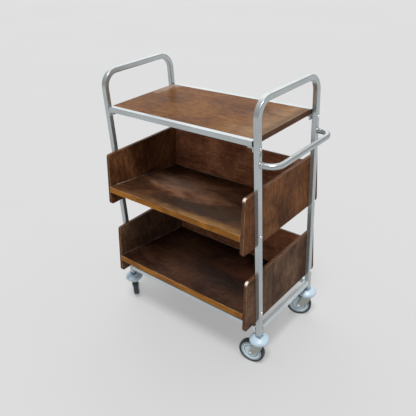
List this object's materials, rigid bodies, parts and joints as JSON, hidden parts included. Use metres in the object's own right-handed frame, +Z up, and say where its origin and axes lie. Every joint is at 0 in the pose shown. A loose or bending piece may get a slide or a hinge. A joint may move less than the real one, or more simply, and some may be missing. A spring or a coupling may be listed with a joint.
{
  "type": "book cart",
  "caption": "Wheeled book cart with bent square-tube end frames, a flat top shelf, sloping wooden trays with back boards, a push handle and swivel casters with bumper rings.",
  "frame": {"origin": "on the floor, midway between the four posts, which is within 9 mm of the middle of the footprint", "axes": "+Z up, +X along the cart towards the push handle, -Y towards the open front of the trays"},
  "size_m": [1.0169, 0.5931, 1.271],
  "materials": {
    "bright_tube": "bright plated square and round tube",
    "bracket_steel": "satin plated angle",
    "top_board_wood": "mid-brown stained board, glossy lacquer",
    "tray_wood": "dark walnut stain, lacquered, pale worn edges",
    "shelf_wood": "dark walnut stain, lacquered, orange-brown front edge",
    "bolt_steel": "polished domed heads",
    "bumper_plastic": "pale blue-white, slightly glossy",
    "zinc_plate": "zinc plated pressing, slightly yellow",
    "wheel_plastic": "blue-grey moulded disc",
    "tyre_rubber": "near-black rubber"
  },
  "bodies": {
    "cart_frame": {"left_end_frame": "bright_tube", "right_end_frame": "bright_tube", "front_top_rail": "bright_tube", "back_top_rail": "bright_tube", "front_left_rail_bracket": "bracket_steel", "front_right_rail_bracket": "bracket_steel", "back_left_rail_bracket": "bracket_steel", "back_right_rail_bracket": "bracket_steel", "top_board": "top_board_wood", "push_handle": "bright_tube", "front_base_rail": "bright_tube", "back_base_rail": "bright_tube", "left_base_rail": "bright_tube", "right_base_rail": "bright_tube", "middle_left_panel": "tray_wood", "middle_right_panel": "tray_wood", "middle_shelf": "shelf_wood", "middle_back_board": "tray_wood", "lower_left_panel": "tray_wood", "lower_right_panel": "tray_wood", "lower_shelf": "shelf_wood", "lower_back_board": "tray_wood", "top_front_left_bolt": "bolt_steel", "top_front_right_bolt": "bolt_steel", "top_back_left_bolt": "bolt_steel", "top_back_right_bolt": "bolt_steel", "middle_front_left_bolt": "bolt_steel", "middle_front_right_bolt": "bolt_steel", "middle_back_left_bolt": "bolt_steel", "middle_back_right_bolt": "bolt_steel", "lower_front_left_bolt": "bolt_steel", "lower_front_right_bolt": "bolt_steel", "lower_back_left_bolt": "bolt_steel", "lower_back_right_bolt": "bolt_steel", "front_right_bumper": "bumper_plastic", "front_right_swivel_stem": "zinc_plate", "back_right_bumper": "bumper_plastic", "back_right_swivel_stem": "zinc_plate", "front_left_bumper": "bumper_plastic", "front_left_swivel_stem": "zinc_plate", "back_left_bumper": "bumper_plastic", "back_left_swivel_stem": "zinc_plate"},
    "front_right_swivel": {"front_right_fork": "zinc_plate", "front_right_axle_bolt": "bolt_steel"},
    "front_right_wheel": {"front_right_wheel_disc": "wheel_plastic", "front_right_tyre": "tyre_rubber"},
    "back_right_swivel": {"back_right_fork": "zinc_plate", "back_right_axle_bolt": "bolt_steel"},
    "back_right_wheel": {"back_right_wheel_disc": "wheel_plastic", "back_right_tyre": "tyre_rubber"},
    "front_left_swivel": {"front_left_fork": "zinc_plate", "front_left_axle_bolt": "bolt_steel"},
    "front_left_wheel": {"front_left_wheel_disc": "wheel_plastic", "front_left_tyre": "tyre_rubber"},
    "back_left_swivel": {"back_left_fork": "zinc_plate", "back_left_axle_bolt": "bolt_steel"},
    "back_left_wheel": {"back_left_wheel_disc": "wheel_plastic", "back_left_tyre": "tyre_rubber"}
  },
  "joints": [
    {"name": "front_right_swivel", "type": "hinge", "parent": "cart_frame", "child": "front_right_swivel", "pos_m": [0.417, -0.2135, 0.1298], "axis": [0, 0, 1], "continuous": true},
    {"name": "front_right_roll", "type": "hinge", "parent": "front_right_swivel", "child": "front_right_wheel", "pos_m": [0.37909, -0.22018, 0.0625], "axis": [0.1736, -0.9848, 0], "continuous": true},
    {"name": "back_right_swivel", "type": "hinge", "parent": "cart_frame", "child": "back_right_swivel", "pos_m": [0.417, 0.2135, 0.1298], "axis": [0, 0, 1], "continuous": true},
    {"name": "back_right_roll", "type": "hinge", "parent": "back_right_swivel", "child": "back_right_wheel", "pos_m": [0.38156, 0.19846, 0.0625], "axis": [0.3907, -0.9205, 0], "continuous": true},
    {"name": "front_left_swivel", "type": "hinge", "parent": "cart_frame", "child": "front_left_swivel", "pos_m": [-0.417, -0.2135, 0.1298], "axis": [0, 0, 1], "continuous": true},
    {"name": "front_left_roll", "type": "hinge", "parent": "front_left_swivel", "child": "front_left_wheel", "pos_m": [-0.44561, -0.18774, 0.0625], "axis": [-0.6691, -0.7431, 0], "continuous": true},
    {"name": "back_left_swivel", "type": "hinge", "parent": "cart_frame", "child": "back_left_swivel", "pos_m": [-0.417, 0.2135, 0.1298], "axis": [0, 0, 1], "continuous": true},
    {"name": "back_left_roll", "type": "hinge", "parent": "back_left_swivel", "child": "back_left_wheel", "pos_m": [-0.45, 0.19367, 0.0625], "axis": [0.515, -0.8572, 0], "continuous": true}
  ]
}
